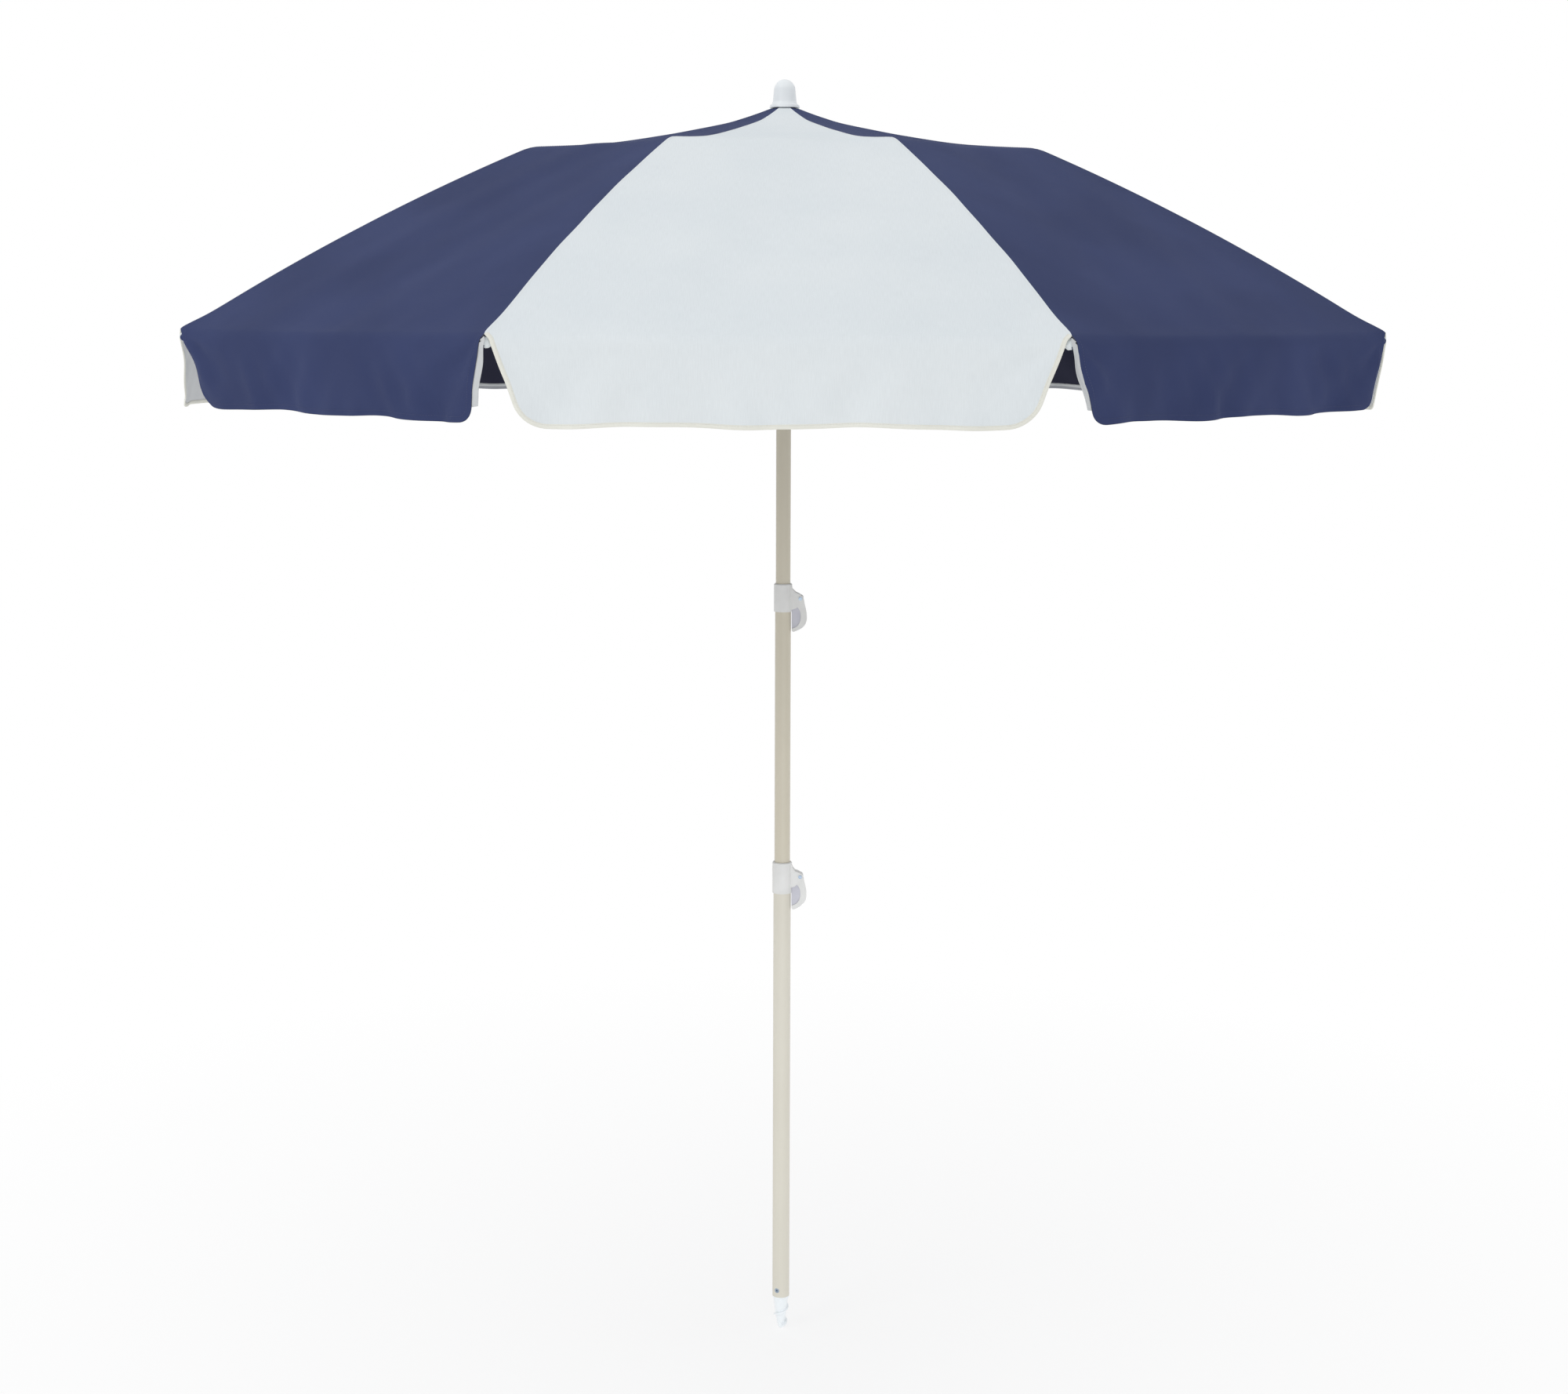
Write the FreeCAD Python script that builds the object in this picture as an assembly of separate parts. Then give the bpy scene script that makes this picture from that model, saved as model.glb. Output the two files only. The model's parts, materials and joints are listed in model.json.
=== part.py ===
import FreeCAD
import Part
import math
import os

# Telescopic beach umbrella with eight ribs and eight alternating fabric panels.
# Millimetres, +Z up along the pole, origin at the point of the ground screw, -Y is the front.
# Parts that repeat round the pole are built on +X (radial), +Y (tangential) and then turned about +Z.

V = FreeCAD.Vector
UP = V(0, 0, 1)
TANGENT = V(0, 1, 0)
RADIAL = V(1, 0, 0)

# Driving dimensions
RIBS = 8
STEP = 360.0 / RIBS
HALF = STEP / 2
FIRST_RIB = -90.0 - HALF

UPPER_R, UPPER_WALL = 12.0, 0.9
MIDDLE_R, MIDDLE_WALL = 13.0, 0.7
LOWER_R, LOWER_WALL = 14.5, 0.9
LOWER_FOOT_Z = 60.6
LOWER_PIN_Z = 804.0
UPPER_PIN_Z = 1272.5
OVERLAP = 150.0
LOWER_MOUTH_Z = LOWER_PIN_Z - 9.0
UPPER_MOUTH_Z = UPPER_PIN_Z - 8.5
LOWER_COLLAR_Z = 776.0
UPPER_COLLAR_Z = 1250.5
NECKED = 0.2
MIDDLE_FOOT_Z = LOWER_MOUTH_Z - OVERLAP
UPPER_FOOT_Z = UPPER_MOUTH_Z - OVERLAP
UPPER_TOP_Z = 2046.0

HUB_R = 24.0
CROWN_Z = 2008.0
RUNNER_Z = 1823.5
HUB_RIM_R = 30.0
HUB_FLOOR_R = 19.5
SLOT_W = 7.0
EYE_R, EYE_W = 4.0, 6.0
WIRE_R = 1.2
RUNNING = 0.1
SNUG = 0.05

KNEE_R, KNEE_Z = 418.0, 1975.0
TIP_R, TIP_Z = 938.5, 1704.0
ROD_SAGITTA = 12.0
INNER_ROD_R = 3.0
OUTER_ROD_R = 2.0
FERRULE_R = 5.5
BALL_R = 4.0
CAP_R = 4.5
CLIP_AT = 327.0
CLIP_DROP = 8.0
STRETCHER_ROD_R = 2.5

FABRIC = 1.2
SEAM_GAP = 0.5
FABRIC_TIP_R, FABRIC_TIP_Z = 945.0, 1708.0
RIDGE_Z = 1983.0
ROLL_R = 14.0
HEM_Z = 1594.0
FLAP_SLANT = 44.0
FLAP_CORNER_R = 45.0
FINIAL_BASE_Z = 2054.6

os.makedirs("parts", exist_ok=True)


def save(name, shape):
    shape.exportStep("parts/" + name + ".step")


def turned(shape, degrees):
    copy = shape.copy()
    copy.rotate(V(0, 0, 0), UP, degrees)
    return copy


def rib_azimuth(k):
    return FIRST_RIB + STEP * k


def panel_azimuth(k):
    return FIRST_RIB + HALF + STEP * k


def ring(outer, inner, z0, z1):
    tube = Part.makeCylinder(outer, z1 - z0, V(0, 0, z0))
    return tube.cut(Part.makeCylinder(inner, z1 - z0 + 2, V(0, 0, z0 - 1)))


def block(x0, x1, y0, y1, z0, z1):
    return Part.makeBox(x1 - x0, y1 - y0, z1 - z0, V(x0, y0, z0))


def cross_pin(radius, width, centre):
    return Part.makeCylinder(radius, width, centre - TANGENT * (width / 2), TANGENT)


def lathe(points):
    wire = Part.makePolygon([V(r, 0, z) for r, z in points + points[:1]])
    return Part.Face(wire).revolve(V(0, 0, 0), UP, 360)


def plate(points, y0, y1):
    wire = Part.makePolygon([V(x, y0, z) for x, z in points + points[:1]])
    return Part.Face(wire).extrude(V(0, y1 - y0, 0))


def smooth_plate(points, y0, y1):
    curve = Part.BSplineCurve()
    curve.interpolate([V(x, y0, z) for x, z in points], PeriodicFlag=True)
    return Part.Face(Part.Wire(curve.toShape())).extrude(V(0, y1 - y0, 0))


def solid(shape):
    whole = shape.removeSplitter()
    return whole.Solids[0] if len(whole.Solids) == 1 else whole


# Telescoping pole

def necked_tube(radius, wall, foot_z, collar_z, mouth_z):
    # The mouth is drawn down a little where the collar's socket grips it
    tube = Part.makeCylinder(radius, collar_z - 0.5 - foot_z, V(0, 0, foot_z))
    tube = tube.fuse(Part.makeCylinder(radius - NECKED, mouth_z - foot_z, V(0, 0, foot_z)))
    return tube.cut(Part.makeCylinder(radius - wall, mouth_z - foot_z + 2, V(0, 0, foot_z - 1)))


def clamp_collar(pin_z, pin_x, mouth_z, tube_r, guide_r, outer_r, z0, z1):
    # A socket on the wider tube's mouth, a guide bore for the thinner one, and two ears for the lever
    body = Part.makeCylinder(outer_r, z1 - z0, V(0, 0, z0))
    body = body.fuse(Part.makeCone(outer_r, outer_r - 1.2, 1.6, V(0, 0, z1)))
    nose = plate(
        [(0, z1 - 2), (outer_r - 1, z1 - 2), (outer_r + 1.2, pin_z + 14.5), (21.5, pin_z + 9.6),
         (pin_x - 2, pin_z + 7.2), (pin_x + 2, pin_z + 4.6), (pin_x + 3, pin_z - 3.6), (pin_x - 2, pin_z - 9.0),
         (22.0, pin_z - 16.0), (outer_r - 1, pin_z - 18.5), (0, pin_z - 18.5)], -8.5, 8.5)
    body = body.fuse(nose).fuse(cross_pin(5.2, 17.0, V(pin_x, 0, pin_z)))
    body = body.cut(Part.makeCylinder(tube_r, mouth_z - z0 + 1, V(0, 0, z0 - 1)))
    body = body.cut(Part.makeCylinder(guide_r + RUNNING, z1 - mouth_z + 4, V(0, 0, mouth_z)))
    body = body.cut(block(guide_r, pin_x + 30, -5.3, 5.3, z0 - 1, pin_z + 6.6))
    return solid(body.cut(cross_pin(2.0 + SNUG, 40.0, V(pin_x, 0, pin_z))))


def clamp_lever(pin_z, pin_x, reach, grip_x, length):
    # A half-round grip below the pin, with a cam nose that bears on the thinner tube when it is shut
    inner = grip_x - pin_x
    outline = [(0, 6.0), (4.6, 1.2), (6.9, -9.0), (9.7, -21.0), (10.8, -31.0), (9.0, -41.0),
               (3.2, -48.5), (-6.0, length + 2.0), (inner + 1.6, length + 0.6), (inner + 0.2, length + 7.5),
               (inner, length + 17.0), (inner, length + 27.0), (inner + 0.4, -18.0), (-9.5, -6.5), (-5.6, 2.0)]
    body = smooth_plate(outline, -5.0, 5.0)
    recess = [(inner - 4, -13.0), (inner + 8.0, -13.5), (inner + 13.6, -21.0), (inner + 15.0, -30.0),
                (inner + 14.0, -38.0), (inner + 9.6, -45.5), (inner + 2.5, -49.5), (inner - 4, -50.0)]
    for y in (-6.0, 3.4):
        body = body.cut(smooth_plate(recess, y, y + 2.6))
    nose = plate([(-reach - 2, 1.5), (0, 5.0), (0, -5.0), (-reach - 2, -7.0)], -5.0, 5.0)
    body = body.fuse(nose.common(cross_pin(reach, 10.0, V(0, 0, 0))))
    body = body.cut(cross_pin(2.0 + RUNNING, 20.0, V(0, 0, 0)))
    body.translate(V(pin_x, 0, pin_z))
    return solid(body)


def clamp_pin(pin_z, pin_x):
    pin = cross_pin(2.0, 18.6, V(pin_x, 0, pin_z))
    for side in (-1, 1):
        centre = V(pin_x, side * 8.6, pin_z)
        pin = pin.fuse(Part.makeCylinder(3.0, 1.0, centre, TANGENT * side))
    return solid(pin)


def pole_bush(tube_r, tube_wall, slide_r, foot_z):
    plug_r = tube_r - tube_wall - SNUG
    return lathe([(plug_r - 2.2, foot_z - 6), (slide_r, foot_z - 6), (slide_r, foot_z), (plug_r, foot_z),
                  (plug_r, foot_z + 16), (plug_r - 2.2, foot_z + 16)])


LOWER_PIN_X = 30.0
GRIP_GAP = 1.1
UPPER_PIN_X = 28.5
RIVET_Z = 73.0
RIVET_R = 4.3
RIVET_AZIMUTH = -118.0
rivet_hole = turned(Part.makeCylinder(RIVET_R, 20.0, V(0, 0, RIVET_Z), RADIAL), RIVET_AZIMUTH)
rivet_shank = turned(Part.makeCylinder(RIVET_R - SNUG, 20.0, V(0, 0, RIVET_Z), RADIAL), RIVET_AZIMUTH)
plug_r = LOWER_R - LOWER_WALL - SNUG
rivet = rivet_shank.common(ring(LOWER_R, plug_r - 4, RIVET_Z - 8, RIVET_Z + 8))

lower_tube = necked_tube(LOWER_R, LOWER_WALL, LOWER_FOOT_Z, LOWER_COLLAR_Z, LOWER_MOUTH_Z)
save("lower_tube", solid(lower_tube.cut(rivet_hole)))
save("ground_screw_rivet", rivet)

# Ground screw: a plug in the tube, a round shoulder and a blunt tapered core with a helical flight
core = lathe([(0, 0), (2.8, 0.6), (4.6, 4.0), (8.3, 20.0), (9.8, 32.0), (11.4, 47.0), (12.4, 53.5),
              (12.8, 56.0), (14.3, 58.0), (14.3, LOWER_FOOT_Z), (plug_r, LOWER_FOOT_Z), (plug_r, 98.0),
              (plug_r - 2, 100.0), (0, 100.0)])
FLIGHT_Z, FLIGHT_RISE, FLIGHT_PITCH = 6.0, 44.0, 27.0
FLIGHT_AZIMUTH = -75.0
flight_path = Part.makeHelix(FLIGHT_PITCH, FLIGHT_RISE, 5.0)
flight_path.translate(V(0, 0, FLIGHT_Z))
flight_section = Part.makePolygon([V(3.0, 0, -2.7), V(3.0, 0, 2.7), V(15.5, 0, 0.9), V(15.5, 0, -0.9),
                                   V(3.0, 0, -2.7)])
flight_section.translate(V(0, 0, FLIGHT_Z))
flight = Part.Wire(flight_path.Edges).makePipeShell([flight_section], True, True)
flight_edge = lathe([(0, 2.0), (9.5, 2.0), (11.0, 8.0), (14.2, 52.0), (14.2, 57.0), (0, 57.0)])
screw = turned(core.fuse(flight.common(flight_edge)), FLIGHT_AZIMUTH)
save("ground_screw", solid(screw.cut(rivet_hole)))

save("lower_collar", clamp_collar(LOWER_PIN_Z, LOWER_PIN_X, LOWER_MOUTH_Z, LOWER_R - NECKED, MIDDLE_R, 16.4,
                                  LOWER_COLLAR_Z, 827.0))
save("lower_clamp_lever", clamp_lever(LOWER_PIN_Z, LOWER_PIN_X, LOWER_PIN_X - MIDDLE_R - RUNNING,
                                      LOWER_R + GRIP_GAP, -57.0))
save("lower_clamp_pin", clamp_pin(LOWER_PIN_Z, LOWER_PIN_X))
middle_tube = necked_tube(MIDDLE_R, MIDDLE_WALL, MIDDLE_FOOT_Z, UPPER_COLLAR_Z, UPPER_MOUTH_Z)
save("middle_tube", solid(middle_tube))
save("middle_tube_bush", pole_bush(MIDDLE_R, MIDDLE_WALL, LOWER_R - LOWER_WALL - RUNNING, MIDDLE_FOOT_Z))
save("upper_collar", clamp_collar(UPPER_PIN_Z, UPPER_PIN_X, UPPER_MOUTH_Z, MIDDLE_R - NECKED, UPPER_R, 15.0,
                                  UPPER_COLLAR_Z, 1295.0))
save("upper_clamp_lever", clamp_lever(UPPER_PIN_Z, UPPER_PIN_X, UPPER_PIN_X - UPPER_R - RUNNING,
                                      MIDDLE_R + GRIP_GAP, -55.5))
save("upper_clamp_pin", clamp_pin(UPPER_PIN_Z, UPPER_PIN_X))
save("upper_tube_bush", pole_bush(UPPER_R, UPPER_WALL, MIDDLE_R - MIDDLE_WALL - RUNNING, UPPER_FOOT_Z))

# Upper tube, with a slot for the catch that holds the runner up and a hole for the catch's stud
CATCH_TOP = RUNNER_Z - 22.3
BUTTON_Z = RUNNER_Z - 15.5
STUD_Z = CATCH_TOP - 40.0
upper_tube = ring(UPPER_R, UPPER_R - UPPER_WALL, UPPER_FOOT_Z, UPPER_TOP_Z)
upper_tube = upper_tube.cut(block(5, 20, -3.6, 3.6, CATCH_TOP - 13, BUTTON_Z + 4.2))
upper_tube = upper_tube.cut(Part.makeCylinder(1.6, 20, V(0, 0, STUD_Z), RADIAL))
save("upper_tube", upper_tube)
catch = block(9.4, 10.2, -3.0, 3.0, STUD_Z - 6, BUTTON_Z + 3.5)
catch = catch.fuse(plate([(9.6, CATCH_TOP), (15.6, CATCH_TOP), (15.6, CATCH_TOP - 2.5), (9.6, CATCH_TOP - 12)],
                         -3.0, 3.0))
catch = catch.fuse(Part.makeCylinder(1.5, 1.9, V(9.9, 0, STUD_Z), RADIAL))
save("runner_catch", solid(catch))


# Hubs: a crown fixed to the tube and a runner that slides on it, each with a slot per rib and an eight-sided wire

def hub_wire(z, radius):
    corner_r = HUB_R / math.cos(math.radians(HALF))
    side = 2 * HUB_R * math.tan(math.radians(HALF))
    wire = None
    for k in range(RIBS):
        straight = turned(cross_pin(radius, side, V(HUB_R, 0, z)), rib_azimuth(k))
        corner = turned(Part.makeSphere(radius, V(corner_r, 0, z)), panel_azimuth(k))
        piece = straight.fuse(corner)
        wire = piece if wire is None else wire.fuse(piece)
    return solid(wire)


def notched(body, z):
    for k in range(RIBS):
        slot = block(HUB_FLOOR_R, HUB_RIM_R + 5, -SLOT_W / 2, SLOT_W / 2, z - 14, z + 14)
        body = body.cut(turned(slot, rib_azimuth(k)))
    return body.cut(hub_wire(z, WIRE_R + SNUG))


crown = lathe([(UPPER_R + SNUG, CROWN_Z - 14), (17.0, CROWN_Z - 14), (18.6, CROWN_Z - 9), (HUB_RIM_R - 1, CROWN_Z - 9),
               (HUB_RIM_R, CROWN_Z - 8), (HUB_RIM_R, CROWN_Z + 8), (HUB_RIM_R - 1, CROWN_Z + 9), (18.6, CROWN_Z + 9),
               (16.0, CROWN_Z + 14), (16.0, CROWN_Z + 34), (22.5, CROWN_Z + 39), (22.5, CROWN_Z + 43),
               (20.0, CROWN_Z + 44.5), (UPPER_R + SNUG, CROWN_Z + 44.5)])
save("crown", solid(notched(crown, CROWN_Z)))
save("crown_ring", hub_wire(CROWN_Z, WIRE_R))

runner = lathe([(UPPER_R + 0.35, RUNNER_Z - 22), (16.8, RUNNER_Z - 22), (17.5, RUNNER_Z - 21), (17.5, RUNNER_Z - 9),
                (HUB_RIM_R - 1, RUNNER_Z - 9), (HUB_RIM_R, RUNNER_Z - 8), (HUB_RIM_R, RUNNER_Z + 8),
                (HUB_RIM_R - 1, RUNNER_Z + 9), (17.5, RUNNER_Z + 9), (17.5, RUNNER_Z + 15), (16.5, RUNNER_Z + 16),
                (UPPER_R + 0.35, RUNNER_Z + 16)])
runner = notched(runner, RUNNER_Z)
runner = runner.cut(Part.makeCylinder(3.0 + RUNNING, 20, V(5, 0, BUTTON_Z), RADIAL))
save("runner", solid(runner))
save("runner_ring", hub_wire(RUNNER_Z, WIRE_R))
button = Part.makeCylinder(3.0, 10.0, V(12.7, 0, BUTTON_Z), RADIAL)
button = button.fuse(Part.makeCylinder(4.6, 2.4, V(21.7, 0, BUTTON_Z), RADIAL))
save("runner_button", solid(button))

# Finial: a plug in the tube's mouth, a flared foot that clamps the fabric and a domed cap
plug = UPPER_R - UPPER_WALL - SNUG
finial = lathe([(0, 2018.0), (plug, 2018.0), (plug, FINIAL_BASE_Z), (23.6, FINIAL_BASE_Z), (24.0, FINIAL_BASE_Z + 1),
                (23.2, FINIAL_BASE_Z + 4.4), (20.2, FINIAL_BASE_Z + 6.2), (18.8, FINIAL_BASE_Z + 10),
                (17.0, 2082.0), (0, 2082.0)])
finial = finial.fuse(Part.makeSphere(17.0, V(0, 0, 2082.0)).common(Part.makeCylinder(20, 20, V(0, 0, 2082.0))))
save("finial", solid(finial))

# Ribs: a stiff inner rod with its eye, clip and ferrule, and a sprung outer rod with a ball and a tip cap
inner_slope = math.degrees(math.atan2(CROWN_Z - KNEE_Z, KNEE_R - HUB_R))
pivot = V(HUB_R, 0, CROWN_Z)
knee = V(KNEE_R, 0, KNEE_Z)
tip = V(TIP_R, 0, TIP_Z)
outward = (knee - pivot).normalize()
upward = V(-outward.z, 0, outward.x)
inner_length = (knee - pivot).Length
clip_pin = pivot + outward * CLIP_AT - upward * CLIP_DROP

inner = cross_pin(EYE_R, EYE_W, pivot)
inner = inner.fuse(Part.makeCylinder(INNER_ROD_R, inner_length - 10, pivot, outward))
inner = inner.fuse(Part.makeCylinder(FERRULE_R, 28.0, pivot + outward * (inner_length - 28), outward))
inner = inner.fuse(Part.makeCylinder(4.2, 14.0, pivot + outward * (CLIP_AT - 7), outward))
lug = block(-3.2, 3.2, -1.5, 1.5, 0, CLIP_DROP)
lug.rotate(V(0, 0, 0), TANGENT, inner_slope)
lug.translate(clip_pin)
inner = inner.fuse(lug).fuse(cross_pin(3.2, 3.0, clip_pin)).fuse(cross_pin(1.5, 9.6, clip_pin))
for side in (-1, 1):
    head = Part.makeCylinder(2.4, 1.0, clip_pin + TANGENT * (3.9 * side), TANGENT * side)
    inner = inner.fuse(head)
inner = inner.cut(cross_pin(WIRE_R + RUNNING, 20, pivot))
inner = inner.cut(Part.makeCylinder(BALL_R + RUNNING, 12, knee - outward * 0.5, outward))
inner = inner.cut(Part.makeSphere(BALL_R + RUNNING, knee))
inner = solid(inner)

chord = tip - knee
chord_half = chord.Length / 2
bow_r = (chord_half ** 2 + ROD_SAGITTA ** 2) / (2 * ROD_SAGITTA)
bow_angle = 2 * math.degrees(math.asin(chord_half / bow_r))
below = V(chord.z, 0, -chord.x).normalize()
bow_centre = knee + chord * 0.5 + below * (bow_r - ROD_SAGITTA)
start_normal = V((knee - bow_centre).z, 0, -(knee - bow_centre).x).normalize()
rod_section = Part.Face(Part.Wire(Part.makeCircle(OUTER_ROD_R, knee, start_normal)))
outer = rod_section.revolve(bow_centre, TANGENT, bow_angle)
end_normal = V((tip - bow_centre).z, 0, -(tip - bow_centre).x).normalize()
outer = outer.fuse(Part.makeSphere(BALL_R, knee, start_normal))
outer = solid(outer.fuse(Part.makeSphere(CAP_R, tip, end_normal)))

# Stretcher: a fork on the rib's clip pin and an eye on the runner's wire
eye = V(HUB_R, 0, RUNNER_Z)
strut = eye - clip_pin
strut_length = strut.Length
strut_angle = math.degrees(math.atan2(-strut.z, -strut.x))
fork = cross_pin(3.4, 7.4, V(0, 0, 0)).fuse(block(-18, 0, -3.7, 3.7, -3.0, 3.0))
fork = fork.cut(block(-9, 9, -1.65, 1.65, -9, 9))
stretcher = fork.fuse(Part.makeCylinder(STRETCHER_ROD_R, strut_length - 14, V(-14, 0, 0), RADIAL * -1))
stretcher = stretcher.fuse(cross_pin(EYE_R, EYE_W, V(-strut_length, 0, 0)))
stretcher = stretcher.cut(cross_pin(1.5 + RUNNING, 20, V(0, 0, 0)))
stretcher = stretcher.cut(cross_pin(WIRE_R + RUNNING, 20, V(-strut_length, 0, 0)))
stretcher.rotate(V(0, 0, 0), TANGENT, -strut_angle)
stretcher.translate(clip_pin)
stretcher = solid(stretcher)

for k in range(RIBS):
    save("rib_inner_%d" % (k + 1), turned(inner, rib_azimuth(k)))
    save("rib_outer_%d" % (k + 1), turned(outer, rib_azimuth(k)))
    save("stretcher_%d" % (k + 1), turned(stretcher, rib_azimuth(k)))


# Fabric: each panel is a thin sheet whose straight rulings run across from seam to seam

def sheet(points, thickness):
    inner_side = []
    for k, p in enumerate(points):
        before = points[max(k - 1, 0)]
        after = points[min(k + 1, len(points) - 1)]
        length = math.hypot(after[0] - before[0], after[1] - before[1])
        nx = (after[1] - before[1]) / length
        nz = -(after[0] - before[0]) / length
        inner_side.append((p[0] + nx * thickness, p[1] + nz * thickness))
    edges = []
    sides = []
    for side in (points, inner_side):
        curve = Part.BSplineCurve()
        curve.interpolate([V(x, -500, z) for x, z in side])
        edges.append(curve.toShape())
        sides.append((V(side[0][0], -500, side[0][1]), V(side[-1][0], -500, side[-1][1])))
    edges.append(Part.makeLine(sides[0][0], sides[1][0]))
    edges.append(Part.makeLine(sides[0][1], sides[1][1]))
    return Part.Face(Part.Wire(Part.__sortEdges__(edges))).extrude(V(0, 1000, 0))


shrink = math.cos(math.radians(HALF))
seam_points = [(27.0, 2052.0), (43.0, 2046.0), (70.0, 2036.8), (100.0, 2028.0), (158.0, 2015.6), (202.0, 2007.0),
               (280.0, 1994.0), (343.0, 1987.8), (KNEE_R - 0.6, RIDGE_Z)]
top_profile = [(r * shrink, z) for r, z in seam_points]

fabric_chord = V(FABRIC_TIP_R - KNEE_R, 0, FABRIC_TIP_Z - RIDGE_Z)
normal = V(-fabric_chord.z, 0, fabric_chord.x).normalize()
skirt_profile = []
PANEL_STATIONS = 12
for k in range(PANEL_STATIONS + 1):
    t = k / PANEL_STATIONS
    rise = 4 * ROD_SAGITTA * t * (1 - t)
    r = KNEE_R + 0.6 * (1 - t) + fabric_chord.x * t + normal.x * rise
    z = RIDGE_Z + fabric_chord.z * t + normal.z * rise
    skirt_profile.append((r * shrink, z))
end, before = skirt_profile[-1], skirt_profile[-2]
end_angle = math.atan2(before[1] - end[1], end[0] - before[0])
roll_x = end[0] - ROLL_R * math.sin(end_angle)
roll_z = end[1] - ROLL_R * math.cos(end_angle)
ROLL_STATIONS = 5
for k in range(1, ROLL_STATIONS + 1):
    a = end_angle + (math.pi / 2 - end_angle) * k / ROLL_STATIONS
    skirt_profile.append((roll_x + ROLL_R * math.sin(a), roll_z + ROLL_R * math.cos(a)))
flap_x, flap_top = skirt_profile[-1]
FLAP_STATIONS = 4
for k in range(1, FLAP_STATIONS + 1):
    skirt_profile.append((flap_x, flap_top + (HEM_Z - flap_top) * k / FLAP_STATIONS))

gap = SEAM_GAP / math.sin(math.radians(HALF))
spread = math.tan(math.radians(HALF))
wedge_wire = Part.makePolygon([V(gap, 0, 1500), V(1500, -(1500 - gap) * spread, 1500),
                               V(1500, (1500 - gap) * spread, 1500), V(gap, 0, 1500)])
wedge = Part.Face(wedge_wire).extrude(V(0, 0, 700))

half_rim = FABRIC_TIP_R * math.sin(math.radians(HALF))
half_hem = half_rim - FLAP_SLANT
side_slope = math.atan2(FABRIC_TIP_Z - HEM_Z, FLAP_SLANT)
corner_run = FLAP_CORNER_R / math.tan((math.pi - side_slope) / 2)


def flap_outline():
    # Wide above the rim; below it the sides slant in and the lower corners are rounded
    run_y = corner_run * math.cos(side_slope)
    run_z = corner_run * math.sin(side_slope)
    centre_y = half_hem - corner_run
    centre_z = HEM_Z + FLAP_CORNER_R
    mid_angle = (math.radians(-90) + (side_slope - math.pi / 2)) / 2
    edges = []
    for s in (-1, 1):
        low = V(0, s * centre_y, HEM_Z)
        mid = V(0, s * (centre_y + FLAP_CORNER_R * math.cos(mid_angle)),
                centre_z + FLAP_CORNER_R * math.sin(mid_angle))
        high = V(0, s * (half_hem + run_y), HEM_Z + run_z)
        edges.append(Part.Arc(low, mid, high).toShape())
        rim = V(0, s * half_rim, FABRIC_TIP_Z)
        edges.append(Part.makeLine(high, rim))
        edges.append(Part.makeLine(rim, V(0, s * 520, FABRIC_TIP_Z)))
        edges.append(Part.makeLine(V(0, s * 520, FABRIC_TIP_Z), V(0, s * 520, 2100)))
    edges.append(Part.makeLine(V(0, -centre_y, HEM_Z), V(0, centre_y, HEM_Z)))
    edges.append(Part.makeLine(V(0, -520, 2100), V(0, 520, 2100)))
    return Part.Face(Part.Wire(Part.__sortEdges__(edges))).extrude(V(1500, 0, 0))


top_panel = sheet(top_profile, FABRIC).common(wedge)
skirt_panel = sheet(skirt_profile, FABRIC).common(wedge).common(flap_outline())
for k in range(RIBS):
    save("canopy_top_%d" % (k + 1), turned(solid(top_panel), panel_azimuth(k)))
    save("canopy_skirt_%d" % (k + 1), turned(solid(skirt_panel), panel_azimuth(k)))
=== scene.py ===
import json
import math

import bpy
import numpy as np
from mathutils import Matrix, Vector


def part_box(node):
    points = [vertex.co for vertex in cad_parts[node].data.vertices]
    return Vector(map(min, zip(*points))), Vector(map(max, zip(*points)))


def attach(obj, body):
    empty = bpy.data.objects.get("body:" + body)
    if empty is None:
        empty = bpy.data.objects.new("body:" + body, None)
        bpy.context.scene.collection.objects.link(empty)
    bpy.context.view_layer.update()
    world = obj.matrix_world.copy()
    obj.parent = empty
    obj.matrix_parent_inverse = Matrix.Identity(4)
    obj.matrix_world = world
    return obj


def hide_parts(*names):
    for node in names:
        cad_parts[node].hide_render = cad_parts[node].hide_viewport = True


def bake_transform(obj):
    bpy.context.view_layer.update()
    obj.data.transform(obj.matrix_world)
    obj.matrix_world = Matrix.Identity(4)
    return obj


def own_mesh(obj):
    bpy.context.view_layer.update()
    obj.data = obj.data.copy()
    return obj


# Beach umbrella: cloth, bindings, tapes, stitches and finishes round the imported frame.
# Metres, +Z up the pole, -Y is the front. Cloth is drawn panel by panel in (l, y): l is the length
# down the middle of the panel from the neck, y is across it; it is then turned about the pole.

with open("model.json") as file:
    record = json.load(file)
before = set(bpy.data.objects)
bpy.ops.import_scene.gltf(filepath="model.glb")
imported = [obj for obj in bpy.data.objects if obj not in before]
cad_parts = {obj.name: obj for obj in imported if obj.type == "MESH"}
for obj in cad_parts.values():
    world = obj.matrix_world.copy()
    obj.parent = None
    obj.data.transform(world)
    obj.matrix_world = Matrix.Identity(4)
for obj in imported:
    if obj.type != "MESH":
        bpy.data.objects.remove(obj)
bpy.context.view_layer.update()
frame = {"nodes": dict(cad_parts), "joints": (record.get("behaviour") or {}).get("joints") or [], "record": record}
joints = {j["name"]: j for j in frame["joints"]}
scene = bpy.context.scene

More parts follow.
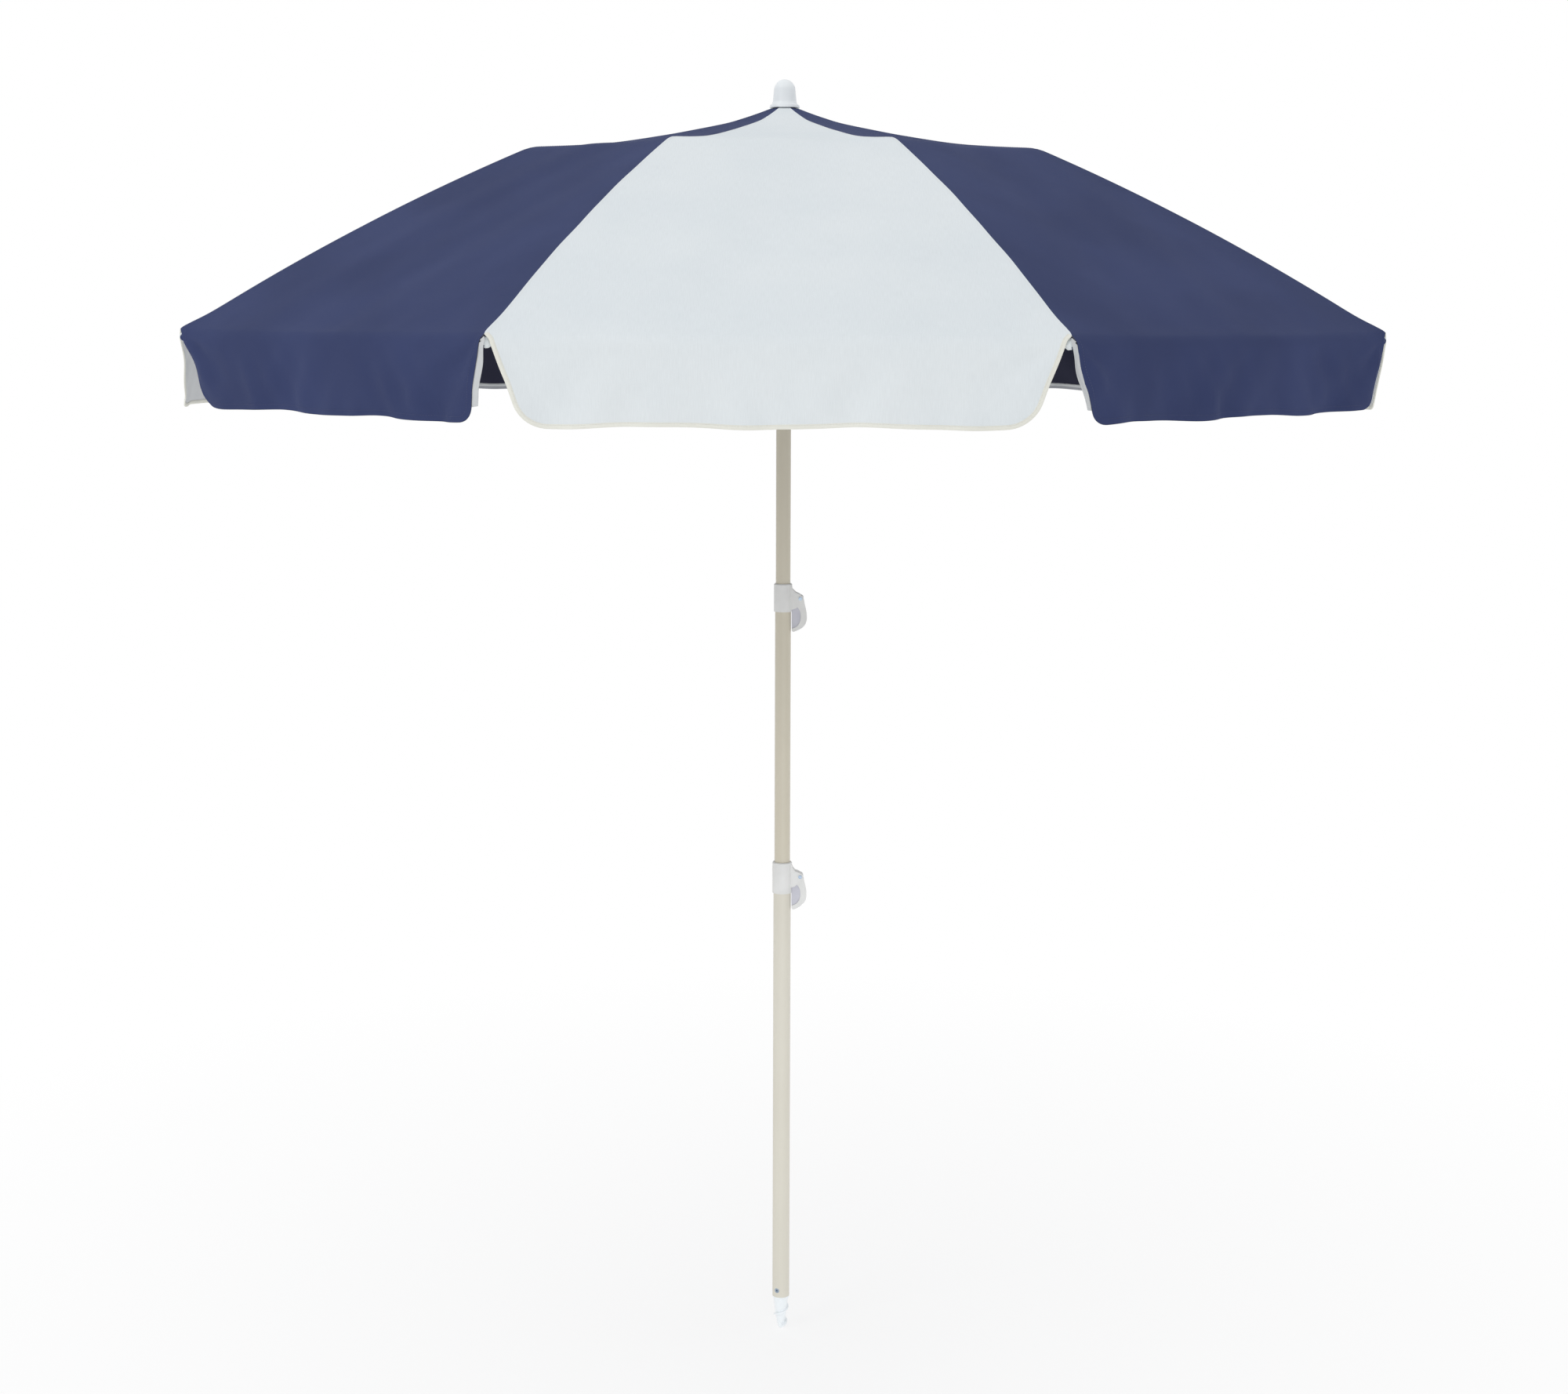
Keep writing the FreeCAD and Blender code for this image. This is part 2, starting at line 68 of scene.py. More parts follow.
# ---- Places taken from the frame ----
RIBS = 8
STEP = 2 * math.pi / RIBS
HALF = STEP / 2
SPREAD = math.tan(HALF)
SHRINK = math.cos(HALF)
FIRST_RIB = -math.pi / 2 - HALF
CREASE_R = math.hypot(*joints["canopy_1_crease"]["pos_m"][:2]) / SHRINK
HEM_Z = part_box("canopy_skirt_1")[0][2]

# ---- Cloth sizes ----
CLOTH = 0.0007                      # thickness of the panels
TAPE = 0.0004                       # thickness of the tapes and tabs sewn inside them
INSIDE = -(CLOTH + 0.0002)          # how far below the outer face a tape lies
CREASE_Z = 1.983                    # the fold between the inner and the outer part of a panel
CREASE_SOFT = 0.014                 # half the length over which that fold is rounded
RIM_R, RIM_Z = 0.945, 1.708         # corner of the rim, at a rib's tip
BOW = 0.012                         # how far the outer part bulges off a straight line
ROLL_R, ROLL_BACK = 0.024, 0.0054   # bend over the rim, and how far before the rim it starts
NECK_R = 0.0165
CAP_R = 0.060                       # outside this radius the cloth follows its rib
CAP_TUCK = 0.005                    # the seam tapes start this far under the cap
TAB_REACH, TAB_HALF = 0.012, 0.0125
POCKET_R, POCKET_Z, POCKET_SLOPE = 0.9430, 1.6985, math.radians(31.9)
TIP_PULL = 0.0045                   # how far a pocket pulls the rim's corner outwards
HALF_RIM = RIM_R * math.sin(HALF)
SLANT = 0.044                       # how much narrower half a flap is at the hem than at the rim
SHOULDER = 0.004
SIDE_WAVE = 0.0012
HALF_HEM = HALF_RIM - SLANT
CORNER_RADII = (0.045, 0.030)       # flap corners: white, navy
HEM_SHORTER = (0, 0.004, 0, -0.004, 0, -0.004, 0, 0.004)
BINDING_W = 0.0052
TAPE_W = 0.0095                     # turned hem of the navy flaps
SIDE_TAPE_L = 0.094                 # the loose side tapes end this far below the rim
SIDE_TAPE_SHOWN, SIDE_TAPE_HIDDEN = 0.0095, 0.0015
SEAM_STITCH_IN = 0.0035
STITCH_PITCH, STITCH_LONG, STITCH_WIDE = 0.0036, 0.0027, 0.0003


def n_of(k):
    """The number of rib or panel k in the names of the frame's nodes."""
    return k + 1


def is_navy(k):
    return k % 2 == 1


def rib_angle(k):
    return FIRST_RIB + STEP * k


def panel_angle(k):
    return FIRST_RIB + HALF + STEP * k


def smoothstep(t):
    t = np.clip(t, 0.0, 1.0)
    return t * t * (3 - 2 * t)


def circle(sides):
    """Angles of a polygon's corners."""
    return np.linspace(0, 2 * math.pi, sides, endpoint=False)


# ---- Materials ----

def new_material(name):
    mat = bpy.data.materials.new(name)
    mat.use_nodes = True
    nodes = mat.node_tree.nodes
    return mat, nodes, mat.node_tree.links, nodes["Principled BSDF"]


def node(nodes, kind, **values):
    made = nodes.new(kind)
    for key, value in values.items():
        if key in made.inputs:
            made.inputs[key].default_value = value
        else:
            setattr(made, key, value)
    return made


def colour_ramp(nodes, places, colours):
    ramp = node(nodes, "ShaderNodeValToRGB")
    for element, place, colour in zip(ramp.color_ramp.elements, places, colours):
        element.position = place
        element.color = (*colour, 1)
    return ramp


def mottle(nodes, links, coords, scale, colours):
    """A soft noise between two colours; returns the ramp node."""
    noise = node(nodes, "ShaderNodeTexNoise", Scale=scale, Detail=3.0)
    links.new(coords, noise.inputs["Vector"])
    ramp = colour_ramp(nodes, (0.35, 0.65), colours)
    links.new(noise.outputs["Fac"], ramp.inputs["Fac"])
    return ramp


def cloth_material(name, light, dark, sheen, thread_pitch=0.0009, weave=0.35, tint=None, shine=0.22):
    """Plain-woven fabric: crossed threads by UV in metres, slubs, mottling, faint marks and sheen."""
    mat, nodes, links, bsdf = new_material(name)
    uv = node(nodes, "ShaderNodeUVMap", uv_map="cloth")
    place = node(nodes, "ShaderNodeTexCoord")
    broad = mottle(nodes, links, place.outputs["Object"], 6.0, (dark, light))
    slub = node(nodes, "ShaderNodeTexNoise", Scale=1.0, Detail=2.0)
    stretch = node(nodes, "ShaderNodeMapping")
    stretch.inputs["Scale"].default_value = (900, 60, 1)
    links.new(uv.outputs["UV"], stretch.inputs["Vector"])
    links.new(stretch.outputs["Vector"], slub.inputs["Vector"])
    threads = []
    for direction in ("X", "Y"):
        wave = node(nodes, "ShaderNodeTexWave", bands_direction=direction, Scale=math.pi / 10 / thread_pitch)
        links.new(uv.outputs["UV"], wave.inputs["Vector"])
        threads.append(wave.outputs["Fac"])
    crossed = node(nodes, "ShaderNodeMath", operation="MULTIPLY")
    links.new(threads[0], crossed.inputs[0])
    links.new(threads[1], crossed.inputs[1])
    height = node(nodes, "ShaderNodeMath", operation="ADD")
    links.new(crossed.outputs[0], height.inputs[0])
    links.new(slub.outputs["Fac"], height.inputs[1])
    bump = node(nodes, "ShaderNodeBump", Strength=weave, Distance=0.0003)
    links.new(height.outputs[0], bump.inputs["Height"])
    links.new(bump.outputs["Normal"], bsdf.inputs["Normal"])
    marked = node(nodes, "ShaderNodeMix", data_type="RGBA", blend_type="MULTIPLY")
    marked.inputs["Factor"].default_value = 0.10
    colour_a, colour_b, colour_out = marked.inputs[6], marked.inputs[7], marked.outputs[2]
    links.new(broad.outputs["Color"], colour_a)
    links.new(slub.outputs["Fac"], colour_b)
    links.new(colour_out, bsdf.inputs["Base Color"])
    rough = node(nodes, "ShaderNodeMapRange")
    rough.inputs["To Min"].default_value = 0.72
    rough.inputs["To Max"].default_value = 0.9
    links.new(slub.outputs["Fac"], rough.inputs["Value"])
    links.new(rough.outputs["Result"], bsdf.inputs["Roughness"])
    bsdf.inputs["Specular IOR Level"].default_value = shine
    bsdf.inputs["Sheen Weight"].default_value = sheen
    bsdf.inputs["Sheen Roughness"].default_value = 0.4
    bsdf.inputs["Sheen Tint"].default_value = (*(tint or light), 1)
    return mat


def hard_material(name, light, dark, rough, metal=0.0, coat=0.0, scale=30.0, grain=(1, 1, 1)):
    """Painted metal, bare steel or moulded plastic, with mottled colour, uneven gloss and a fine surface."""
    mat, nodes, links, bsdf = new_material(name)
    place = node(nodes, "ShaderNodeTexCoord")
    mapping = node(nodes, "ShaderNodeMapping")
    mapping.inputs["Scale"].default_value = grain
    links.new(place.outputs["Object"], mapping.inputs["Vector"])
    ramp = mottle(nodes, links, mapping.outputs["Vector"], scale, (dark, light))
    links.new(ramp.outputs["Color"], bsdf.inputs["Base Color"])
    fine = node(nodes, "ShaderNodeTexNoise", Scale=scale * 22, Detail=4.0)
    links.new(mapping.outputs["Vector"], fine.inputs["Vector"])
    gloss = node(nodes, "ShaderNodeMapRange")
    gloss.inputs["To Min"].default_value = rough - 0.07
    gloss.inputs["To Max"].default_value = rough + 0.09
    links.new(fine.outputs["Fac"], gloss.inputs["Value"])
    links.new(gloss.outputs["Result"], bsdf.inputs["Roughness"])
    bump = node(nodes, "ShaderNodeBump", Strength=0.5, Distance=0.00005)
    links.new(fine.outputs["Fac"], bump.inputs["Height"])
    links.new(bump.outputs["Normal"], bsdf.inputs["Normal"])
    bsdf.inputs["Metallic"].default_value = metal
    bsdf.inputs["Coat Weight"].default_value = coat
    bsdf.inputs["Coat Roughness"].default_value = 0.25
    return mat


WHITE_CLOTH = cloth_material("white_cloth", (0.80, 0.845, 0.865), (0.77, 0.82, 0.845), 0.05)
# The inside faces are the same cloths drawn darker and greyer: painted shade for the underside of the canopy.
WHITE_INSIDE_SHADED = cloth_material("white_cloth_inside_shaded", (0.70, 0.715, 0.73), (0.67, 0.69, 0.705), 0.05)
NAVY_CLOTH = cloth_material("navy_cloth", (0.044, 0.059, 0.147), (0.037, 0.050, 0.127), 0.05,
                            tint=(0.30, 0.38, 0.62), shine=0.12)
NAVY_INSIDE_SHADED = cloth_material("navy_cloth_inside_shaded", (0.022, 0.023, 0.046), (0.018, 0.019, 0.038), 0.04)
COARSE = {"thread_pitch": 0.0013, "weave": 0.6}
IVORY_TAPE = cloth_material("ivory_tape", (0.86, 0.86, 0.79), (0.82, 0.82, 0.745), 0.05, **COARSE)
# The tape inside the navy flaps is the ivory tape drawn light grey as painted shade, and darker grey as deeper
# painted shade where it turns round the edge.
TAPE_IN_SHADE = cloth_material("tape_in_painted_shade", (0.66, 0.68, 0.69), (0.58, 0.60, 0.61), 0.05, **COARSE)
TURNED_TAPE_SHADE = cloth_material("turned_tape_in_shade", (0.34, 0.35, 0.38), (0.29, 0.30, 0.33), 0.05, **COARSE)
WHITE_THREAD = hard_material("white_thread", (0.80, 0.80, 0.76), (0.72, 0.72, 0.67), 0.7, scale=200)
NAVY_THREAD = hard_material("navy_thread", (0.07, 0.085, 0.18), (0.05, 0.06, 0.14), 0.7, scale=200)
PAINT = {"coat": 0.12, "scale": 14, "grain": (1, 1, 0.25)}
# Lit and shaded copies of the pole's one paint: the lower tube's copy is lighter and less yellow, painted light
# for the brighter light low on the pole; the copy on the tubes under the canopy is a little darker, painted shade.
POLE_PAINT = hard_material("pole_paint", (0.61, 0.565, 0.455), (0.58, 0.535, 0.43), 0.40, **PAINT)
POLE_PAINT_LIT_LOW = hard_material("pole_paint_lit_low", (0.665, 0.635, 0.550), (0.635, 0.605, 0.520), 0.40, **PAINT)
WHITE_PLASTIC = hard_material("white_plastic", (0.85, 0.885, 0.90), (0.82, 0.855, 0.875), 0.36,
                              coat=0.08, scale=24)
CLAMP_PLASTIC = hard_material("clamp_plastic", (0.735, 0.735, 0.72), (0.695, 0.695, 0.68), 0.42, scale=40)
# Painted shade: the clamp plastic drawn darker and bluer for the floors of the levers' side pockets.
LEVER_RECESS_SHADE = hard_material("lever_recess_shade", (0.58, 0.58, 0.64), (0.54, 0.54, 0.60), 0.5, scale=40)
BUSH_PLASTIC = hard_material("bush_plastic", (0.16, 0.16, 0.17), (0.12, 0.12, 0.13), 0.5)
STEEL = hard_material("steel", (0.40, 0.48, 0.56), (0.30, 0.36, 0.45), 0.28,
                      metal=0.9, scale=60, grain=(1, 1, 4))
# Painted shade: a dark steel for the hole in the rivet's sunk centre.
RIVET_HOLE_SHADE = hard_material("rivet_hole_painted_shade", (0.10, 0.13, 0.18), (0.06, 0.08, 0.12), 0.5, metal=0.5, scale=60)
RIB_PAINT = hard_material("rib_paint", (0.74, 0.74, 0.73), (0.69, 0.69, 0.68), 0.4, coat=0.1, scale=40)
RIB_FIBRE = hard_material("rib_fibre", (0.78, 0.78, 0.75), (0.72, 0.72, 0.69), 0.38, scale=50)

FINISHES = {
    "pole_paint": POLE_PAINT, "white_plastic": WHITE_PLASTIC, "clamp_plastic": CLAMP_PLASTIC,
    "bush_plastic": BUSH_PLASTIC, "steel": STEEL, "rib_steel": RIB_PAINT, "rib_fibre": RIB_FIBRE,
    "canopy_white": WHITE_CLOTH, "canopy_navy": NAVY_CLOTH,
}
for part in frame["record"]["subparts"]:
    shown = frame["nodes"][part["node"]]
    shown.data.materials.clear()
    shown.data.materials.append(FINISHES[part["material_slot"]])
# Painted light: the lower tube takes the lighter copy of the pole's paint.
frame["nodes"]["lower_tube"].data.materials[0] = POLE_PAINT_LIT_LOW


# Outer cloth, then its inside cloth, which is drawn darker as painted shade.
def both_sides(k):
    return [NAVY_CLOTH, NAVY_INSIDE_SHADED] if is_navy(k) else [WHITE_CLOTH, WHITE_INSIDE_SHADED]


def panel_thread(k):
    return NAVY_THREAD if is_navy(k) else WHITE_THREAD


# ---- Section of a panel: x outward and z up, along its middle ----

def line_lengths(line):
    return np.concatenate([[0], np.cumsum(np.linalg.norm(np.diff(line, axis=0), axis=1))])


def evenly(line, count):
    length = line_lengths(line)
    places = np.linspace(0, length[-1], count)
    return np.column_stack([np.interp(places, length, line[:, i]) for i in range(line.shape[1])])


def through(points, count):
    """A smooth curve through points, at evenly spaced lengths."""
    p = np.array(points, float)
    padded = np.vstack([2 * p[0] - p[1], p, 2 * p[-1] - p[-2]])
    dense = []
    for a, b, c, d in zip(padded, padded[1:], padded[2:], padded[3:]):
        for t in np.linspace(0, 1, 40, endpoint=False):
            dense.append(0.5 * (2 * b + (c - a) * t + (2 * a - 5 * b + 4 * c - d) * t ** 2
                                + (3 * b - a - 3 * c + d) * t ** 3))
    dense.append(p[-1])
    return evenly(np.array(dense), count)


def seam_line():
    """The seam from the neck to the rim as (radius, height), with the crease softened."""
    top = through([(NECK_R, 2.0542), (0.022, 2.0534), (0.027, 2.0520), (0.043, 2.0460), (0.070, 2.0368),
                   (0.100, 2.0280), (0.158, 2.0156), (0.202, 2.0070), (0.280, 1.9940), (0.343, 1.9878),
                   (CREASE_R, CREASE_Z)], 400)
    chord = np.array([RIM_R - CREASE_R, RIM_Z - CREASE_Z])
    normal = np.array([-chord[1], chord[0]]) / np.linalg.norm(chord)
    t = np.linspace(0, 1, 400)[:, None]
    skirt = np.array([CREASE_R, CREASE_Z]) + chord * t + normal * 4 * BOW * t * (1 - t)
    line = np.vstack([top, skirt[1:]])
    length = line_lengths(line)
    middle = length[len(top) - 1]
    low, high = (np.array([np.interp(middle + side * CREASE_SOFT, length, line[:, i]) for i in range(2)])
                 for side in (-1, 1))
    t = np.linspace(0, 1, 31)[:, None]
    soft = low * (1 - t) ** 2 + top[-1] * 2 * t * (1 - t) + high * t ** 2
    return np.vstack([line[length < middle - CREASE_SOFT], soft, line[length > middle + CREASE_SOFT]])


def panel_section():
    """The middle of a panel: the canopy, the roll over the rim and the hanging flap."""
    canopy = seam_line() * np.array([SHRINK, 1.0])
    rim = line_lengths(canopy)[-1]
    canopy = canopy[line_lengths(canopy) <= rim - ROLL_BACK]
    end, before = canopy[-1], canopy[-12]
    slope = math.atan2(before[1] - end[1], end[0] - before[0])
    centre = end - ROLL_R * np.array([math.sin(slope), math.cos(slope)])
    angles = np.linspace(slope, math.pi / 2, 25)[1:]
    roll = centre + ROLL_R * np.column_stack([np.sin(angles), np.cos(angles)])
    drop = np.linspace(roll[-1][1], HEM_Z - 0.012, 60)[1:]
    flap = np.column_stack([np.full(len(drop), roll[-1][0]), drop])
    return np.vstack([canopy, roll, flap]), rim


def section_normals(line):
    along = np.gradient(line, axis=0)
    along /= np.linalg.norm(along, axis=1)[:, None]
    return np.column_stack([-along[:, 1], along[:, 0]])


LINE, RIM_L = panel_section()
LENGTHS = line_lengths(LINE)
NORMALS = section_normals(LINE)
CAP_L = float(np.interp(CAP_R * SHRINK, LINE[:, 0], LENGTHS))
CREASE_L = float(np.interp(CREASE_R * SHRINK, LINE[:, 0], LENGTHS))
HEM_L = float(np.interp(-HEM_Z, -LINE[:, 1], LENGTHS))


def at_length(l):
    return [np.interp(l, LENGTHS, column) for column in (*LINE.T, *NORMALS.T)]


def half_flap(z, k):
    """Half the flap's width at height z: a small shoulder, slanted and waved sides, rounded corners."""
    corner_r = CORNER_RADII[is_navy(k)]
    lean = SLANT - SHOULDER
    shoulder = SHOULDER * (1 - smoothstep((RIM_Z - z) / 0.008))
    straight = HALF_HEM + lean * (z - HEM_Z) / (RIM_Z - HEM_Z) + shoulder
    slope = math.atan2(RIM_Z - HEM_Z, lean)
    run = corner_r / math.tan((math.pi - slope) / 2)
    rise = np.clip(HEM_Z + corner_r - z, 0, corner_r)
    corner = HALF_HEM - run + np.sqrt(corner_r ** 2 - rise ** 2)
    wave = SIDE_WAVE * np.sin((RIM_Z - z) * 52) * smoothstep((z - HEM_Z - corner_r) / 0.02)
    return np.where(z >= HEM_Z + run * math.sin(slope), straight, corner) + wave


def half_width(l, k=0):
    x, z, _, _ = at_length(l)
    return np.where(l <= RIM_L, x * SPREAD, half_flap(z, k))


# ---- Cloth surface with sag, folds and slightly uneven seams ----
# Waves are (length, height); diagonal folds add a tilt. SWING and LEAN are one value per flap.
FLAP_WAVES = ((0.34, 0.0034), (0.19, 0.0026), (0.105, 0.0016), (0.06, 0.0007))
PANEL_WAVES = ((0.30, 0.0014), (0.13, 0.0006))
HEM_WAVES = ((0.26, 0.0018), (0.11, 0.0004))
DIAGONALS = ((0.090, 0.0024, 0.8), (0.055, 0.0012, -0.6))
SWING = (0.002, 0.001, -0.002, 0.001, 0.0, 0.002, 0.0125, -0.004)
LEAN = (0, 0, 0, 0, 0, 0, 0, 0.004)
SAG = 0.0035
FAN = 0.0036
PAST_HEM = 1.1


def ripple(y, seed, sizes):
    total = 0.0
    for n, (length, height) in enumerate(sizes):
        period = length * (1 + 0.11 * math.sin(seed * 3.1 + n))
        total = total + height * np.sin(2 * math.pi * y / period + seed * 1.7 + n * 2.3)
    return total


def down_flap(l):
    """Share of the way from the rim to the hem, a little past 1 at a long hem."""
    return np.clip((l - RIM_L) / (HEM_L - RIM_L), 0, PAST_HEM)


def folds(k, l, x, y):
    """How far the cloth stands off its section: sag between ribs, soft folds and fans from the rib tips."""
    edge = np.clip(1 - (y / (x * SPREAD)) ** 2, 0, 1)
    canopy = smoothstep((x - 0.06) / 0.3) * edge * (ripple(y + x * 0.35, k, PANEL_WAVES) - SAG)
    drop = np.maximum(l - RIM_L, 0)
    down = down_flap(l)
    below_rim = smoothstep(drop / 0.04)
    strength = 1.35 if is_navy(k) else 0.8
    flap = down ** 1.3 * ripple(y, k + 11, FLAP_WAVES) * strength + down ** 1.5 * SWING[k]
    for n, (length, height, tilt) in enumerate(DIAGONALS):
        phase = 2 * math.pi * (y + tilt * drop) / length + k * 1.9 + n
        patchy = 0.5 + 0.5 * np.sin(2 * math.pi * y / 0.31 + k * 2.2 + n * 1.4)
        flap = flap + strength * height * patchy * np.sin(phase) * down ** 0.6 * below_rim
    for side in (-1, 1):
        across = HALF_RIM - side * y
        away = np.hypot(across, drop)
        angle = np.arctan2(across, drop + 1e-6)
        fan = np.sin(angle * (9 + math.sin(k * 1.3 + side)) + k * 2.1 + side)
        flap = flap + strength * FAN * fan * smoothstep(away / 0.06) * np.exp(-away / 0.16) * below_rim
    return canopy * (1 - smoothstep((l - RIM_L + 0.03) / 0.05)) + flap


def seam_drift(rib, l):
    """How far the seam over a rib wanders sideways: nothing at the neck, the knee and the tip."""
    top = np.clip((l - CAP_L) / (CREASE_L - CAP_L), 0, 1)
    skirt = np.clip((l - CREASE_L) / (RIM_L - CREASE_L), 0, 1)
    window = np.sin(math.pi * top) + np.sin(math.pi * skirt)
    return window * (0.0006 * np.sin(l * 31 + rib * 2.7) + 0.0003 * np.sin(l * 67 + rib * 1.1))


def hem_shift(k, l, y):
    """How far the cloth of a flap hangs below its drawn length: a wavy hem, and shorter navy flaps."""
    return down_flap(l) ** 2 * (ripple(y, k + 5, HEM_WAVES) - HEM_SHORTER[k])


def surface(k, l, y, lift=0.0):
    """Points of panel k at length l and y across, lifted off the outer face of the cloth."""
    l, y, lift = np.broadcast_arrays(np.asarray(l, float), y, lift)
    l = l + hem_shift(k, l, y)
    x, z, nx, nz = at_length(l)
    push = lift + folds(k, l, x, y)
    for side in (-1, 1):
        rib = (k + (side + 1) // 2) % RIBS
        drift = seam_drift(rib, l) * np.clip(side * y / (x * SPREAD), 0, 1) ** 6
        x = x - side * math.sin(HALF) * drift
        y = y + SHRINK * drift
        at_rib = np.clip(side * y / (x * SPREAD), 0, 1) ** 16
        pull = TIP_PULL * at_rib * np.exp(-((l - RIM_L) / 0.030) ** 2)
        x, y, z = x + SHRINK * pull, y + side * math.sin(HALF) * pull, z + 0.5 * pull
    y = y + LEAN[k] * down_flap(l)
    x, z = x + nx * push, z + nz * push
    c, s = math.cos(panel_angle(k)), math.sin(panel_angle(k))
    return np.stack([x * c - y * s, x * s + y * c, z], axis=-1)


# ---- Mesh building ----

def mesh_object(name, points, faces, materials, uvs=None, slots=None, smooth=True):
    mesh = bpy.data.meshes.new(name)
    mesh.from_pydata(np.asarray(points, float).reshape(-1, 3).tolist(), [], faces)
    for mat in materials:
        mesh.materials.append(mat)
    if uvs is not None:
        layer = mesh.uv_layers.new(name="cloth")
        index = np.empty(len(mesh.loops), int)
        mesh.loops.foreach_get("vertex_index", index)
        layer.data.foreach_set("uv", np.asarray(uvs, np.float32).reshape(-1, 2)[index].ravel())
    if slots is not None:
        mesh.polygons.foreach_set("material_index", slots)
    if smooth:
        mesh.polygons.foreach_set("use_smooth", [True] * len(mesh.polygons))
    mesh.validate()
    mesh.update()
    made = bpy.data.objects.new(name, mesh)
    scene.collection.objects.link(made)
    return made


class Pieces:
    """Grids and stitches gathered into one mesh, each with its own material."""

    def __init__(self):
        self.points, self.uvs, self.faces, self.slots, self.count = [], [], [], [], 0

    def add(self, points, uvs, faces, slot=0):
        points = np.asarray(points, float).reshape(-1, 3)
        self.points.append(points)
        self.uvs.append(np.asarray(uvs, float).reshape(-1, 2))
        self.faces += [tuple(i + self.count for i in face) for face in faces]
        self.slots += [slot] * len(faces)
        self.count += len(points)

    def build(self, name, materials):
        return mesh_object(name, np.vstack(self.points), self.faces, materials,
                           np.vstack(self.uvs), self.slots)


def grid_faces(rows, columns):
    return [(r * columns + c, (r + 1) * columns + c, (r + 1) * columns + c + 1, r * columns + c + 1)
            for r in range(rows - 1) for c in range(columns - 1)]


def patch(into, k, lengths, spans, columns, lift=0.0, slot=0):
    """A grid of panel k's cloth: spans gives the low and high y at each length."""
    u = np.linspace(0, 1, columns)
    y = spans[0][:, None] + (spans[1] - spans[0])[:, None] * u
    l = np.repeat(np.asarray(lengths)[:, None], columns, axis=1)
    into.add(surface(k, l, y, lift), np.stack([y, l], axis=-1), grid_faces(len(lengths), columns), slot)


def thicken(made, thickness):
    """Gives cloth its thickness inwards, with the inner face in the next material (the inside cloth in painted
    shade), and crisp cut edges.
    """
    solid = made.modifiers.new("thickness", "SOLIDIFY")
    solid.thickness = thickness
    solid.offset = -1.0
    solid.material_offset = 1
    graph = bpy.context.evaluated_depsgraph_get()
    mesh = bpy.data.meshes.new_from_object(made.evaluated_get(graph))
    made.modifiers.clear()
    made.data = mesh
    mesh.set_sharp_from_angle(angle=math.radians(40))
    return made


def gather(made):
    """Gives a panel's cloth its own copy of its mesh."""
    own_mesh(made)


def on_panel(made, k, part):
    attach(made, "canopy_%s_%d" % (part, n_of(k)))
    gather(made)


def path_frame(path):
    """Unit steps along a path in (y, l), and unit steps across it towards the cloth."""
    along = np.gradient(path, axis=0)
    along /= np.maximum(np.linalg.norm(along, axis=1), 1e-9)[:, None]
    return along, np.column_stack([-along[:, 1], along[:, 0]])


def sweep(into, k, path, profile, slot=0, closed=False, trim=0.0):
    """A tape swept along a path in (y, l), with a profile of (inward, lift).
    trim cuts its far end at a slant."""
    profile = np.array(profile + profile[:1] if closed else profile, float)
    _, inward = path_frame(path)
    y = path[:, :1] + inward[:, :1] * profile[:, 0]
    l = path[:, 1:] + inward[:, 1:] * profile[:, 0]
    length = line_lengths(path)
    last = smoothstep((length - length[-1] + 0.012) / 0.012)[:, None]
    l = l + last * trim * profile[:, 0]
    uvs = np.stack(np.broadcast_arrays(line_lengths(profile), length[:, None]), axis=-1)
    into.add(surface(k, l, y, np.broadcast_to(profile[:, 1], y.shape)), uvs,
             grid_faces(len(path), len(profile)), slot)


STITCH_FACES = [(0, 4, 2), (2, 4, 5), (2, 5, 1), (0, 3, 4), (3, 5, 4), (3, 1, 5)]


def stitch(into, k, path, lift=0.0, slot=0):
    """A row of small raised stitches along a path in (y, l)."""
    length = line_lengths(path)
    places = np.arange(STITCH_PITCH / 2, length[-1] - STITCH_PITCH / 2, STITCH_PITCH)
    at, along, side = (np.column_stack([np.interp(places, length, a[:, i]) for i in range(2)])
                       for a in (path, *path_frame(path)))
    half, wide, high = STITCH_LONG / 2, STITCH_WIDE, STITCH_WIDE * 1.3
    corners = [(-half, 0, -0.0001), (half, 0, -0.0001), (0, wide, 0), (0, -wide, 0),
               (-half * 0.5, 0, high), (half * 0.5, 0, high)]
    spots = np.stack([at + along * a + side * b for a, b, _ in corners], axis=1)
    lifts = np.array([lift + c for _, _, c in corners])
    points = surface(k, spots[..., 1], spots[..., 0], np.broadcast_to(lifts, spots.shape[:2]))
    faces = [tuple(i + len(corners) * n for i in face) for n in range(len(places)) for face in STITCH_FACES]
    into.add(points, spots, faces, slot)


# ---- Canopy sheets ----
TOP_LENGTHS = np.linspace(CAP_L, CREASE_L, 44)
SKIRT_LENGTHS = np.linspace(CREASE_L, RIM_L, 60)
ROLL_FROM, ROLL_TO = RIM_L - 0.008, RIM_L + 0.026


def corner_lengths(k):
    """Lengths down a flap from where its corners start to turn, close together near the hem."""
    corner_r = CORNER_RADII[is_navy(k)]
    return HEM_L - corner_r + corner_r * np.sin(np.linspace(0, math.pi / 2, 14))


def outer_lengths(k):
    """Lengths of the rows of a panel's outer sheet, closest on the roll over the rim and at the corners."""
    corner = corner_lengths(k)
    return np.concatenate([np.linspace(CREASE_L, ROLL_FROM, 58), np.linspace(ROLL_FROM, ROLL_TO, 18)[1:],
                           np.linspace(ROLL_TO, corner[0], 22)[1:], corner[1:]])


